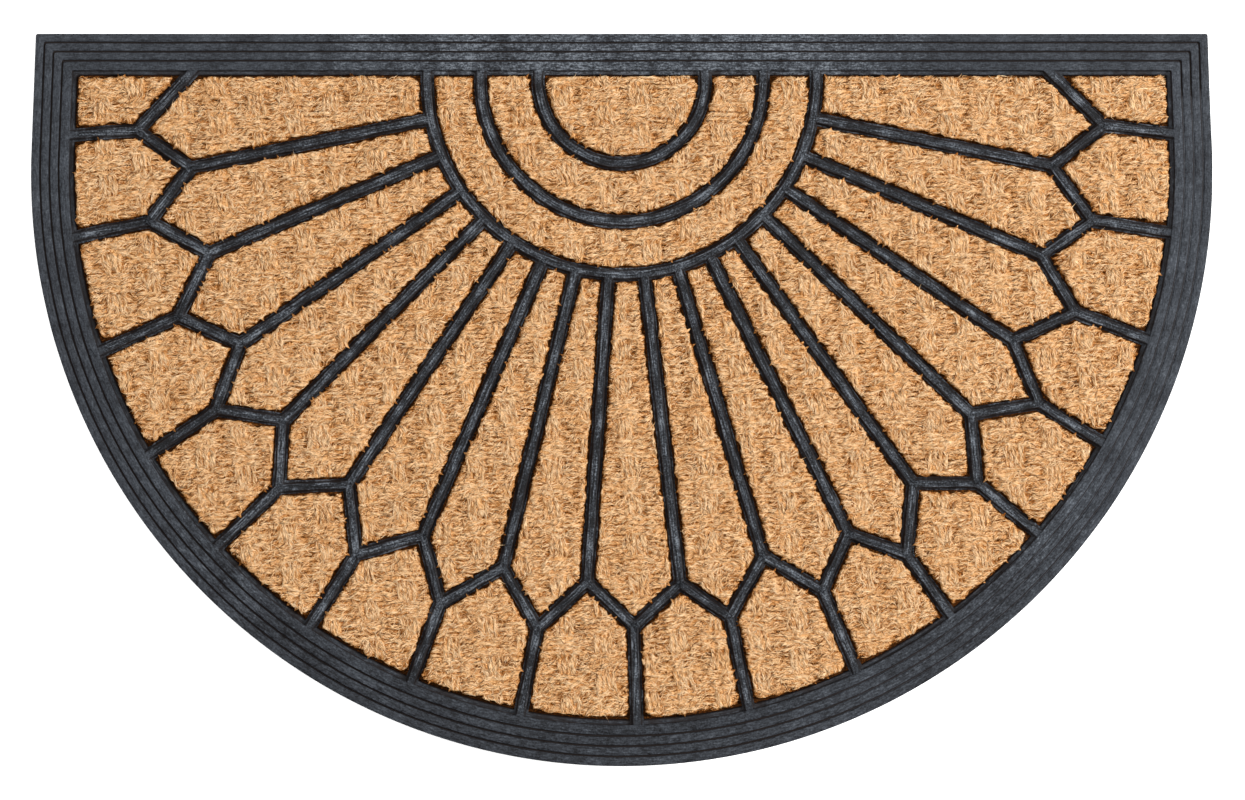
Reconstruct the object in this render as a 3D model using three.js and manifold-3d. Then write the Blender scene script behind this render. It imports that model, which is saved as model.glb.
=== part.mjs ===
// Half-moon doormat: one panel of woven coir held in one piece of moulded rubber.
// Millimetres, +Z up. The straight edge faces +Y and the origin is under the middle of the mat.
import * as THREE from "three";
import { mergeVertices } from "three/addons/utils/BufferGeometryUtils.js";
import Module from "manifold-3d";

const { degToRad } = THREE.MathUtils;
const wasm = await Module();
wasm.setup();

// Outline: a half circle below, short sides that lean in a little, and a straight edge on top
const WIDTH = 750;
const DEPTH = 465;
const SIDE_LEAN = degToRad(2.1);
const CORNER_ROUND = 1.4;
const ARC_RADIUS = WIDTH / 2;
const ARC_Y = ARC_RADIUS - DEPTH / 2;
const ARC_STEPS = 28; // a curve is cut into twice as many straight pieces

// The border isn't even: of each millimetre of inset, the straight edge, the sides and the foot of the
// arc take a little less or more, because the inner arcs lie higher
const TOP_SHARE = 0.94;
const SIDE_SHARE = 0.97;
const ARC_LIFT = 0.08;

// Heights above the floor, with a gap wherever rubber and coir lie against each other
const GAP = 0.3;
const BACKING_TOP = 2.2;
const PANEL_LOW = BACKING_TOP + GAP;
const WEB_TOP = 4.3; // the coir that is squeezed flat under the bars
const FLANGE_LOW = WEB_TOP + GAP;
const FLANGE_TOP = 5.6;
const BAR_TOP = 8.8;
const COIR_TOP = 10.5;

// Border: flat ribs that step down towards the rim, parted by thin grooves
const RIB_COUNT = 4;
const RIB_PITCH = 6.25;
const RIM_TOP = 6.3;
const RIB_STEP = 0.9;
const RIB_CHAMFER = 0.35;
const GROOVE_WIDTH = 0.9;
const GROOVE_DEPTH = 1.1;
const BORDER = RIB_COUNT * RIB_PITCH;
const LEDGE = 3; // the low floor between the border and the coir

// Bars: a stem with drafted sides on a low flange
const FLANGE_HALF = 4.2;
const STEM_HALF = 2.8;
const CROWN_HALF = 2.4;
const BAR_ROOT = 3; // how deep the ends of the bars sit in the border
const COIR_CHAMFER = 0.8;

// Sun: a disc and two rings on the straight edge, all about one centre
const SUN = new THREE.Vector2(0, 203);
const SUN_RADII = [53, 89.7, 123.6];

// Fan: tips and knees take turns on two circles about a hub, and the whole leans to the right
const HUB = new THREE.Vector2(-2.3, 158);
const FAN_LEAN = 0.027;
const FAN_STEP = degToRad(11.65);
const TIP_RADIUS = 275;
const KNEE_RADIUS = 306;
const CELL_AIM = new THREE.Vector2(-2, 171); // the cell lines point away from here
const CELL_REACH = 130;
const TOP_REACH = 14; // the first and last tip lie under the border

// How far each tip and knee strays from the even fan, in mm out from the hub and mm along the fan,
// and how far each cell line turns off its aim, in degrees. From left to right.
const TIP_STRAY = {
  out: [2, -1, -4, -1, 3, 2, 3, 2, 0, 1, -5, 4, 2, -1, -2, -2, -2, 6],
  along: [-5, -2, -2, 3, 2, 3, 3, 1, -1, 2, 2, 2, -2, 0, -1, 1, 3, 2],
};
const KNEE_STRAY = {
  out: [1, -2, -3, 3, 3, 4, 6, 3, -4, -4, -2, 4, -1, 0, -3, -5, 1],
  along: [4, 0, 1, 2, 2, 3, 1, 1, 0, 0, 0, -4, -2, 1, 2, 0, -1],
  turn: [4, 1, 1, -1, -3, -1, 0, -2, 0, -1, -1, 2, 5, 1, 1, 2, -7],
};

const RING_STEPS = 64;
const WELD = 1e-4; // corners nearer than this are one

// Half of each section, from its foot up: distance from the middle line, height
const BAR_SECTION = [
  [FLANGE_HALF, FLANGE_LOW],
  [FLANGE_HALF, FLANGE_TOP],
  [STEM_HALF, FLANGE_TOP],
  [CROWN_HALF, BAR_TOP],
];
const CHANNEL_SECTION = [
  [FLANGE_HALF + GAP, WEB_TOP],
  [FLANGE_HALF + GAP, COIR_TOP - COIR_CHAMFER],
  [FLANGE_HALF + GAP + 2 * COIR_CHAMFER, COIR_TOP + COIR_CHAMFER],
];

// A closed geometry as a solid that can be joined and cut
function solidOf(geometry) {
  geometry.deleteAttribute("normal");
  geometry.deleteAttribute("uv");
  const merged = mergeVertices(geometry, WELD);
  const triangles = [];
  for (let i = 0; i < merged.index.count; i += 3) {
    const [a, b, c] = [0, 1, 2].map((k) => merged.index.getX(i + k));
    if (a !== b && b !== c && c !== a) triangles.push(a, b, c);
  }
  const mesh = new wasm.Mesh({
    numProp: 3,
    vertProperties: new Float32Array(merged.attributes.position.array),
    triVerts: new Uint32Array(triangles),
  });
  return new wasm.Manifold(mesh);
}

function geometryOf(solid) {
  const { vertProperties, triVerts } = solid.getMesh();
  const geometry = new THREE.BufferGeometry();
  geometry.setAttribute("position", new THREE.BufferAttribute(vertProperties, 3));
  geometry.setIndex(new THREE.BufferAttribute(triVerts, 1));
  geometry.computeVertexNormals();
  return geometry;
}

const joined = (solids) => solids.reduce((whole, solid) => whole.add(solid));

// The mat's outline, drawn in by an inset
function halfMoon(inset) {
  const radius = ARC_RADIUS - SIDE_SHARE * inset;
  const middle = ARC_Y + ARC_LIFT * inset;
  const top = DEPTH / 2 - TOP_SHARE * inset;
  const corner = (radius - (top - middle) * Math.sin(SIDE_LEAN)) / Math.cos(SIDE_LEAN);
  const shape = new THREE.Shape();
  shape.moveTo(corner - CORNER_ROUND, top);
  shape.lineTo(CORNER_ROUND - corner, top);
  shape.lineTo(-corner, top - CORNER_ROUND);
  shape.absarc(0, middle, radius, Math.PI - SIDE_LEAN, 2 * Math.PI + SIDE_LEAN, false);
  shape.lineTo(corner, top - CORNER_ROUND);
  shape.closePath();
  return shape;
}

function band(outer, inner) {
  const shape = halfMoon(outer);
  shape.holes.push(halfMoon(inner));
  return shape;
}

// A flat piece of a given outline between two heights, with chamfered edges
function slab(shape, low, high, chamfer = 0) {
  const geometry = new THREE.ExtrudeGeometry(shape, {
    depth: high - low - 2 * chamfer,
    curveSegments: ARC_STEPS,
    bevelEnabled: chamfer > 0,
    bevelSegments: 1,
    bevelThickness: chamfer,
    bevelSize: chamfer,
    bevelOffset: -chamfer,
  });
  return solidOf(geometry.translate(0, 0, low + chamfer));
}

function straightBar(section, from, to) {
  const along = new THREE.Vector3(to.x - from.x, to.y - from.y, 0);
  const length = along.length();
  along.normalize();
  const up = new THREE.Vector3(0, 0, 1);
  const across = new THREE.Vector3().crossVectors(up, along);
  const right = section.map(([half, z]) => new THREE.Vector2(half, z));
  const left = section.map(([half, z]) => new THREE.Vector2(-half, z)).reverse();
  const geometry = new THREE.ExtrudeGeometry(new THREE.Shape([...right, ...left]), {
    depth: length,
    bevelEnabled: false,
  });
  const place = new THREE.Matrix4().makeBasis(across, up, along).setPosition(from.x, from.y, 0);
  return solidOf(geometry.applyMatrix4(place));
}

function ringBar(section, radius) {
  const outside = section.map(([half, z]) => new THREE.Vector2(radius + half, z));
  const inside = section.map(([half, z]) => new THREE.Vector2(radius - half, z)).reverse();
  const geometry = new THREE.LatheGeometry([...outside, ...inside, outside[0]], RING_STEPS);
  geometry.rotateX(Math.PI / 2);
  return solidOf(geometry.translate(SUN.x, SUN.y, 0));
}

// A point of the fan: angle from straight down, positive to the right
function fanPoint(angle, radius, stray, row) {
  const turn = angle + stray.along[row] / radius;
  const reach = radius + stray.out[row];
  const y = HUB.y - reach * Math.cos(turn);
  const lean = FAN_LEAN * (DEPTH / 2 - y);
  return new THREE.Vector2(HUB.x + reach * Math.sin(turn) + lean, y);
}

const pastEnd = (from, to, more) => to.clone().add(to.clone().sub(from).setLength(more));

const tips = TIP_STRAY.out.map((_, row, all) =>
  fanPoint((row - (all.length - 1) / 2) * FAN_STEP, TIP_RADIUS, TIP_STRAY, row),
);
const knees = KNEE_STRAY.out.map((_, row, all) =>
  fanPoint((row - (all.length - 1) / 2) * FAN_STEP, KNEE_RADIUS, KNEE_STRAY, row),
);

// Every bar of the pattern with one section: as rubber, or as the channels that the bars lie in
function lattice(section) {
  const first = 0;
  const last = tips.length - 1;
  const pieces = SUN_RADII.map((radius) => ringBar(section, radius));
  tips.forEach((tip, row) => {
    if (row === first || row === last) return;
    const start = SUN.clone().add(tip.clone().sub(SUN).setLength(SUN_RADII.at(-1)));
    pieces.push(straightBar(section, start, tip));
  });
  knees.forEach((knee, row) => {
    const before = tips[row];
    const after = tips[row + 1];
    const reachBefore = row === first ? pastEnd(knee, before, TOP_REACH) : before;
    const reachAfter = row + 1 === last ? pastEnd(knee, after, TOP_REACH) : after;
    const outward = knee.clone().sub(CELL_AIM).setLength(CELL_REACH);
    outward.rotateAround(new THREE.Vector2(), degToRad(KNEE_STRAY.turn[row]));
    pieces.push(
      straightBar(section, knee, reachBefore),
      straightBar(section, knee, reachAfter),
      straightBar(section, knee, knee.clone().add(outward)),
    );
  });
  return joined(pieces).intersect(slab(halfMoon(BORDER - BAR_ROOT), 0, 2 * COIR_TOP));
}

// The ribs of the border, from the rim inwards, each on a foot that is the floor of the groove before it
function border() {
  const pieces = [];
  for (let rib = 0; rib < RIB_COUNT; rib += 1) {
    const top = RIM_TOP + rib * RIB_STEP;
    const outer = rib * RIB_PITCH;
    const inner = outer + RIB_PITCH - (rib + 1 < RIB_COUNT ? GROOVE_WIDTH : 0);
    const foot = outer - (rib > 0 ? GROOVE_WIDTH : 0);
    const floor = top - RIB_STEP - GROOVE_DEPTH;
    pieces.push(
      slab(band(foot, BORDER), 0, floor),
      slab(band(outer, inner), BACKING_TOP, top, RIB_CHAMFER),
    );
  }
  return joined(pieces);
}

function rubberMoulding() {
  const backing = slab(halfMoon(0), 0, BACKING_TOP);
  const ledge = slab(band(BORDER - LEDGE, BORDER + LEDGE), 0, FLANGE_TOP);
  return joined([backing, border(), ledge, lattice(BAR_SECTION)]);
}

function coirPanel() {
  const blank = slab(halfMoon(BORDER + LEDGE + GAP), PANEL_LOW, COIR_TOP, COIR_CHAMFER);
  return blank.subtract(lattice(CHANNEL_SECTION));
}

function piece(name, solid, material) {
  const mesh = new THREE.Mesh(geometryOf(solid), material);
  mesh.name = name;
  return mesh;
}

const rubber = new THREE.MeshStandardMaterial({ color: 0x3c424a, roughness: 0.7, metalness: 0 });
const coir = new THREE.MeshStandardMaterial({ color: 0xcda069, roughness: 0.95, metalness: 0 });

const doormat = new THREE.Group();
doormat.add(piece("rubber_moulding", rubberMoulding(), rubber));
doormat.add(piece("coir_panel", coirPanel(), coir));

export default doormat;
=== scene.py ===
# %% [markdown]
# # A half-moon coir doormat
# The mat is made of two things: a panel of woven coir, and one piece of moulded rubber that is its
# backing, its ribbed border and the raised bars of a sunburst. The solid model gives the true sizes.
# This lesson dresses it: a finer moulding, a woven face, about a hundred thousand coir fibres, and the
# finishes of both materials.

# %% Load the solid model as a fixed frame
import math

import bmesh
import bpy
import numpy as np
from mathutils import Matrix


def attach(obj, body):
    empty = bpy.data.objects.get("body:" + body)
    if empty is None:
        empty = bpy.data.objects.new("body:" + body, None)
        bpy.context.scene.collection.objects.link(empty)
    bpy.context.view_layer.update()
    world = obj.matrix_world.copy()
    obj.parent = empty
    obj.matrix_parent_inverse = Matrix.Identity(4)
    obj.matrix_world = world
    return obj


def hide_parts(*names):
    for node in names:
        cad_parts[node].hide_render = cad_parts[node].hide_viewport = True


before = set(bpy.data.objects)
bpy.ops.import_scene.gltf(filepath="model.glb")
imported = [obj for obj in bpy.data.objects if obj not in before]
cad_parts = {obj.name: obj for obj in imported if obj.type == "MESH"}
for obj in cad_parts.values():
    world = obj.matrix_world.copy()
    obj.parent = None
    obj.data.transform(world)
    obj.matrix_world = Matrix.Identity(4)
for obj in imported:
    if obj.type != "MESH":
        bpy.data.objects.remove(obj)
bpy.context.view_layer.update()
MM = 0.001

# %% [markdown]
# ## The outline and the pattern of bars
# All sizes here are millimetres, as on a maker's drawing, and meshes are scaled to metres when they
# are built. The outline is a half circle with short sides that lean in towards a straight edge. The
# bars form a sun on that edge and a fan of rays. Tips and knees take turns on two circles about a
# hub, and the whole fan leans a little. Such moulds are cut by hand, so each point also strays by a
# few millimetres, which the two short tables hold from left to right: out from the hub and along the
# fan in millimetres, and how far a cell line turns off its aim in degrees. Every point could be typed
# in by itself, but a rule with small strays shows how the pattern is built.

# %% Sizes of the outline and the fan
WIDTH, DEPTH = 750.0, 465.0
ARC_RADIUS = WIDTH / 2
ARC_Y = ARC_RADIUS - DEPTH / 2
SIDE_LEAN = math.radians(2.1)
CORNER_ROUND = 1.4
TOP_SHARE, SIDE_SHARE, ARC_LIFT = 0.94, 0.97, 0.08
BORDER, LEDGE = 25.0, 3.0
BAR_ROOT = 3.0

SUN = np.array([0.0, 203.0])
SUN_RADII = (53.0, 89.7, 123.6)
HUB = np.array([-2.3, 158.0])
FAN_LEAN = 0.027
FAN_STEP = math.radians(11.65)
TIP_RADIUS, KNEE_RADIUS = 275.0, 306.0
CELL_AIM = np.array([-2.0, 171.0])
PAST_BORDER, ROOT_STEP = 150.0, 0.25

TIP_STRAY = {
    "out": (2, -1, -4, -1, 3, 2, 3, 2, 0, 1, -5, 4, 2, -1, -2, -2, -2, 6),
    "along": (-5, -2, -2, 3, 2, 3, 3, 1, -1, 2, 2, 2, -2, 0, -1, 1, 3, 2),
}
KNEE_STRAY = {
    "out": (1, -2, -3, 3, 3, 4, 6, 3, -4, -4, -2, 4, -1, 0, -3, -5, 1),
    "along": (4, 0, 1, 2, 2, 3, 1, 1, 0, 0, 0, -4, -2, 1, 2, 0, -1),
    "turn": (4, 1, 1, -1, -3, -1, 0, -2, 0, -1, -1, 2, 5, 1, 1, 2, -7),
}


def fan_points(radius, stray):
    out = np.array(stray["out"], float)
    rank = np.arange(len(out)) - (len(out) - 1) / 2
    turn = rank * FAN_STEP + np.array(stray["along"]) / radius
    y = HUB[1] - (radius + out) * np.cos(turn)
    x = HUB[0] + (radius + out) * np.sin(turn) + FAN_LEAN * (DEPTH / 2 - y)
    return np.stack([x, y], axis=1)


tips = fan_points(TIP_RADIUS, TIP_STRAY)
knees = fan_points(KNEE_RADIUS, KNEE_STRAY)
print(len(tips), "tips and", len(knees), "knees")

# %% [markdown]
# ## How far in from the rim, and how far from a bar
# Two questions come up all the time: how far a point lies inside the rim, and how far it lies from
# the nearest bar. Answering them with formulas instead of with meshes keeps the coir, the fibres and
# the grain of the rubber in step with one drawing.


# %% Distance from the rim
def inset_of(points):
    """How far in from the rim, in the border's own measure: it is wider at the foot than on top."""
    x, y = np.abs(points[:, 0]), points[:, 1] - ARC_Y
    radius = np.hypot(x, y)
    on_arc = (ARC_RADIUS - radius) / (SIDE_SHARE - ARC_LIFT * y / np.maximum(radius, 1))
    slant = x * math.cos(SIDE_LEAN) + y * math.sin(SIDE_LEAN)
    on_side = (ARC_RADIUS - slant) / (SIDE_SHARE - ARC_LIFT * math.sin(SIDE_LEAN))
    body = np.where(np.arctan2(y, x) < SIDE_LEAN, on_arc, on_side)
    return np.minimum((DEPTH / 2 - points[:, 1]) / TOP_SHARE, body)


def rooted(start, end):
    """The end of a bar, drawn back or let out to where it is rooted in the border."""
    way = (end - start) / np.linalg.norm(end - start)
    reach = np.arange(0, PAST_BORDER, ROOT_STEP)
    inside = inset_of(start + reach[:, None] * way) > BORDER - BAR_ROOT
    return start + way * reach[np.argmin(inside)]


print("inset at the middle of the mat:", round(inset_of(np.zeros((1, 2)))[0]), "mm")


# %% The middle lines of all bars
def rays():
    for tip in tips[1:-1]:
        way = (tip - SUN) / np.linalg.norm(tip - SUN)
        yield SUN + way * SUN_RADII[-1], tip


def knee_bars():
    """From each knee its cell line and two zigzag bars: the outermost run on into the border."""
    for k, (knee, turn) in enumerate(zip(knees, KNEE_STRAY["turn"])):
        aim = knee - CELL_AIM
        c, s = math.cos(math.radians(turn)), math.sin(math.radians(turn))
        outward = np.array([c * aim[0] - s * aim[1], s * aim[0] + c * aim[1]])
        before, after = tips[k], tips[k + 1]
        yield knee, rooted(knee, knee + outward)
        yield knee, rooted(knee, before) if k == 0 else before
        yield knee, rooted(knee, after) if k + 1 == len(knees) else after


RAYS = list(rays())
BARS = RAYS + list(knee_bars())
SUN_ROOT_Y = DEPTH / 2 - TOP_SHARE * (BORDER - BAR_ROOT)
print(len(BARS), "straight bars and", len(SUN_RADII), "arcs")


# %% Distance from the nearest bar
def nearest_bar(points):
    """Across and along the nearest bar's middle line, and that bar's number."""
    across = np.full(len(points), np.inf)
    along = np.zeros(len(points))
    number = np.zeros(len(points), int)
    for k, (start, end) in enumerate(BARS):
        span = end - start
        length = np.linalg.norm(span)
        way = span / length
        rel = points - start
        t = np.clip(rel @ way, 0, length)
        off = rel - t[:, None] * way
        side = np.sign(way[0] * off[:, 1] - way[1] * off[:, 0])
        distance = np.linalg.norm(off, axis=1) * np.where(side == 0, 1, side)
        closer = np.abs(distance) < np.abs(across)
        across[closer], along[closer], number[closer] = distance[closer], t[closer], k
    rel = points - SUN
    r, turn = np.hypot(rel[:, 0], rel[:, 1]), np.arctan2(rel[:, 0], -rel[:, 1])
    for k, radius in enumerate(SUN_RADII):
        closer = (np.abs(r - radius) < np.abs(across)) & (points[:, 1] < SUN_ROOT_Y)
        across[closer], along[closer] = (r - radius)[closer], (turn * radius)[closer]
        number[closer] = len(BARS) + k
    return across, along, number


# %% Depth inside the coir
CHANNEL_HALF = 5.25
EDGE_GAP, FOOT_GAP, LEFT_GAP = 1.0, 1.2, 0.7
FIELD_ROUND = 1.8


def coir_depth(points):
    """How deep a point lies inside the coir: below zero it is over rubber. Corners come out round."""
    across = nearest_bar(points)[0]
    left, foot = np.clip(-points / [ARC_RADIUS, DEPTH / 2], 0, 1).T
    short = EDGE_GAP + LEFT_GAP * left + FOOT_GAP * foot
    from_bar = np.abs(across) - CHANNEL_HALF
    from_edge = inset_of(points) - BORDER - LEDGE - short
    corner = FIELD_ROUND * np.log1p(np.exp(-np.abs(from_bar - from_edge) / FIELD_ROUND))
    return np.minimum(from_bar, from_edge) - corner


print("channels for the bars are", 2 * CHANNEL_HALF, "mm wide")

# %% [markdown]
# ## Unevenness and fades
# Nothing on the mat is quite even. A noise texture could shake the surface at render time, but then
# the meshes would stay too clean. A sum of a few sine waves gives a soft unevenness that every mesh
# can share, and a seed makes it the same on each run. A fade grows from nothing to one along a
# distance, and says where a finish starts and where it is full.

# %% Ripples and fades
RIPPLE_WAVES = 7
WAVE_SPREAD = (0.6, 1.6)


def ripple(points, wavelength, seed):
    """Soft bumps of about that wavelength in millimetres, mostly between -1 and 1."""
    rng = np.random.default_rng(seed)
    total = np.zeros(len(points))
    for _ in range(RIPPLE_WAVES):
        heading, phase = rng.uniform(0, 2 * math.pi, 2)
        pace = 2 * math.pi / (wavelength * rng.uniform(*WAVE_SPREAD))
        onward = points[:, 0] * math.cos(heading) + points[:, 1] * math.sin(heading)
        total += np.sin(pace * onward + phase)
    return total / math.sqrt(RIPPLE_WAVES)


def uneven(points, amount, wavelength, seed):
    """A ripple of that amount. Three numbers name one: its amount, wavelength and seed."""
    return amount * ripple(points, wavelength, seed)


def fade(values, start, over):
    """0 up to the start, then growing to 1 over that distance."""
    return np.clip((values - start) / over, 0, 1)


# %% [markdown]
# ## Building meshes from arrays
# Blender can take a whole mesh from NumPy arrays at once, which is far quicker than adding faces one
# by one. The helper below takes points in millimetres and any mix of faces.


# %% A mesh object from points and faces
def mesh_object(name, points, faces, material=None):
    """faces is a list of whole-number arrays, one row for each face, or of single rows."""
    blocks = [np.atleast_2d(np.asarray(block)) for block in faces]
    corners = np.concatenate([block.ravel() for block in blocks]).astype(np.int32)
    totals = np.concatenate([np.full(len(block), block.shape[1]) for block in blocks])
    starts = np.concatenate([[0], np.cumsum(totals)[:-1]]).astype(np.int32)
    mesh = bpy.data.meshes.new(name)
    mesh.vertices.add(len(points))
    mesh.vertices.foreach_set("co", (np.asarray(points) * MM).astype(np.float32).ravel())
    mesh.loops.add(len(corners))
    mesh.loops.foreach_set("vertex_index", corners)
    mesh.polygons.add(len(starts))
    mesh.polygons.foreach_set("loop_start", starts)
    mesh.update(calc_edges=True)
    if material:
        mesh.materials.append(material)
    obj = bpy.data.objects.new(name, mesh)
    bpy.context.scene.collection.objects.link(obj)
    return obj


def point_values(obj, name, values):
    attribute = obj.data.attributes.new(name, "FLOAT", "POINT")
    attribute.data.foreach_set("value", np.asarray(values, np.float32))


def points_of(obj):
    co = np.empty(len(obj.data.vertices) * 3, np.float32)
    obj.data.vertices.foreach_get("co", co)
    return co.reshape(-1, 3).astype(float) / MM


def triangles_of(obj):
    obj.data.calc_loop_triangles()
    return len(obj.data.loop_triangles)


# %% [markdown]
# ## Finishes: small helpers for shader nodes
# A material is a graph of nodes. A few helpers keep the graphs short: one adds a node and sets or
# links its inputs, one starts a material with its shader, and the others add the nodes that come up
# again and again, such as a colour ramp or a noise.


# %% Helpers for materials
def add_node(tree, kind, inputs=(), **settings):
    node = tree.nodes.new(kind)
    for key, value in settings.items():
        setattr(node, key, value)
    for key, value in dict(inputs).items():
        if isinstance(value, bpy.types.NodeSocket):
            tree.links.new(value, node.inputs[key])
        else:
            node.inputs[key].default_value = value
    return node


def add_ramp(tree, factor, stops):
    node = add_node(tree, "ShaderNodeValToRGB", {"Fac": factor})
    elements = node.color_ramp.elements
    while len(elements) < len(stops):
        elements.new(0.5)
    for element, (place, colour) in zip(elements, stops):
        element.position = place
        element.color = (*colour, 1)
    return node.outputs["Color"]


def add_math(tree, operation, first, second):
    return add_node(tree, "ShaderNodeMath", {0: first, 1: second}, operation=operation).outputs[0]


def add_range(tree, value, low, high, to_low=0.0, to_high=1.0):
    inputs = {"Value": value, "From Min": low, "From Max": high, "To Min": to_low, "To Max": to_high}
    return add_node(tree, "ShaderNodeMapRange", inputs).outputs[0]


def add_mix(tree, factor, first, second):
    """Blends two numbers: sockets 2 and 3 of a Mix node are its pair of numbers."""
    return add_node(tree, "ShaderNodeMix", {"Factor": factor, 2: first, 3: second}).outputs[0]


def add_colour_mix(tree, factor, first, second):
    """Blends two colours: sockets 6 and 7 of a Mix node are its pair of colours."""
    inputs = {"Factor": factor, 6: first, 7: second}
    return add_node(tree, "ShaderNodeMix", inputs, data_type="RGBA").outputs[2]


def add_noise(tree, vector, scale, detail=3.0, roughness=0.55):
    inputs = {"Vector": vector, "Scale": scale, "Detail": detail, "Roughness": roughness}
    return add_node(tree, "ShaderNodeTexNoise", inputs).outputs["Fac"]


def add_value(tree, name):
    return add_node(tree, "ShaderNodeAttribute", attribute_name=name).outputs["Fac"]


def add_place(tree):
    return add_node(tree, "ShaderNodeTexCoord").outputs["Object"]


def new_material(name):
    material = bpy.data.materials.new(name)
    material.use_nodes = True
    tree = material.node_tree
    return material, tree, tree.nodes["Principled BSDF"]


# %% [markdown]
# ## Finish: moulded rubber
# The rubber is dark slate, matt, with a pale bloom of dust, and fine streaks along each rib and bar
# where the rubber flowed in the mould. Down in grooves and channels its colour is darkened, which is
# painted shade, so whatever stands high looks paler. One plain colour would look like plastic. The
# streaks need to run along every bar, so the mesh carries two values, across and along, which stretch
# a noise into lines. Three more say how high a place stands, which sets the painted shade, how much
# dust it has, with painted shade by place on the border, and how mottled it is.

# %% Rubber
STREAK_STRETCH = 0.06
DUST_MIDDLE = 0.45
# painted shade: the dark colour of grooves, channels and walls, where little light reaches
RUBBER_PAINTED_SHADE = (0.012, 0.008, 0.007, 1)
RUBBER_TINTS = (
    (0.00, (0.004, 0.004, 0.005)),
    (0.35, (0.026, 0.029, 0.035)),
    (0.65, (0.056, 0.063, 0.074)),
    (1.00, (0.160, 0.177, 0.200)),
)


def add_rubber_dust(tree):
    """Streaks, broad bloom and fine specks, each with its share."""
    place = add_place(tree)
    along = add_math(tree, "MULTIPLY", add_value(tree, "along"), STREAK_STRETCH)
    grain = add_node(tree, "ShaderNodeCombineXYZ", {"X": add_value(tree, "across"), "Y": along}).outputs[0]
    kinds = (
        (0.42, add_noise(tree, grain, scale=1.0, detail=5.0, roughness=0.7)),
        (0.22, add_noise(tree, place, scale=60.0, detail=5.0, roughness=0.65)),
        (0.36, add_noise(tree, place, scale=800.0, detail=4.0, roughness=0.75)),
    )
    streak, bloom, speck = [add_math(tree, "MULTIPLY", noise, share) for share, noise in kinds]
    return add_math(tree, "ADD", add_math(tree, "ADD", streak, bloom), speck)


def make_rubber():
    material, tree, shader = new_material("slate rubber")
    dust = add_rubber_dust(tree)
    shift = add_math(tree, "SUBTRACT", add_range(tree, dust, low=0.41, high=0.60), DUST_MIDDLE)
    mottled = add_math(tree, "MULTIPLY", shift, add_value(tree, "mottle"))
    # on the border the dust value also carries painted shade by place
    shade = add_math(tree, "ADD", mottled, add_value(tree, "dust_and_shade"))
    tint = add_ramp(tree, shade, RUBBER_TINTS)
    # painted shade: where lift is 0 the colour is the dark painted-shade colour, at 1 the full tint
    colour = add_colour_mix(tree, add_value(tree, "lift"), RUBBER_PAINTED_SHADE, tint)
    tree.links.new(colour, shader.inputs["Base Color"])
    rough = add_range(tree, shade, low=0.0, high=1.0, to_low=0.55, to_high=0.9)
    tree.links.new(rough, shader.inputs["Roughness"])
    shader.inputs["Specular IOR Level"].default_value = 0.14
    bump = add_node(tree, "ShaderNodeBump", {"Height": dust, "Strength": 0.7, "Distance": 0.0008})
    tree.links.new(bump.outputs[0], shader.inputs["Normal"])
    return material


rubber = make_rubber()
print("made", rubber.name)

# %% [markdown]
# ## The rubber moulding
# The real piece comes out of one mould, so its edges are soft and nothing on it is perfectly even.
# It could be a bevelled copy of the solid, but bevels on cut triangles are ragged. Here the border is
# lofted from one section that is swept round the outline, each bar is swept along its middle line,
# and a boolean union makes one closed piece of them. The grooves fade out towards the right.

# %% The border's section: inset from the rim and height
RIB_COUNT, RIB_PITCH = 4, 6.25
RIM_TOP, RIB_STEP = 6.3, 0.9
GROOVE_AT, GROOVE_WIDTH, GROOVE_DEPTH, GROOVE_DRAFT = 0.9, 1.25, 1.5, 0.15
BACKING_TOP, FLANGE_TOP = 2.2, 5.6
SOFT_EDGE = ((0.0, -0.45), (0.13, -0.14), (0.45, 0.0))
RIB_HOLLOW = 0.07
LEDGE_BEAD = ((0.15, -0.4), (0.7, -0.1), (1.4, 0.15), (2.2, -0.1), (2.9, -0.5))


def border_section():
    """Inset and height of each corner, and whether it is the floor of a groove."""
    section = [(0.0, 0.0, False)]
    for rib in range(RIB_COUNT):
        top = RIM_TOP + rib * RIB_STEP
        last = rib + 1 == RIB_COUNT
        outer = rib * RIB_PITCH + (GROOVE_WIDTH - GROOVE_AT if rib else 0)
        inner = (rib + 1) * RIB_PITCH - (0 if last else GROOVE_AT)
        section += [(outer + step, top + drop, False) for step, drop in SOFT_EDGE]
        section += [((outer + inner) / 2, top - RIB_HOLLOW, False)]
        section += [(inner - step, top + drop, False) for step, drop in reversed(SOFT_EDGE)]
        if not last:
            floor = top - GROOVE_DEPTH
            sides = (inner + GROOVE_DRAFT, inner + GROOVE_WIDTH - GROOVE_DRAFT)
            section += [(side, floor, True) for side in sides]
    section += [(BORDER + step, FLANGE_TOP + drop, False) for step, drop in LEDGE_BEAD]
    return section + [(BORDER + LEDGE, BACKING_TOP, False)]


print("corners of the border's section:", len(border_section()))

# %% The outline at any inset, always with the same number of points
TOP_STEPS, SIDE_STEPS, ARC_STEPS, CORNER_STEPS = 150, 18, 240, 4


def directions(turns):
    return np.stack([np.cos(turns), np.sin(turns)], axis=1)


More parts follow.
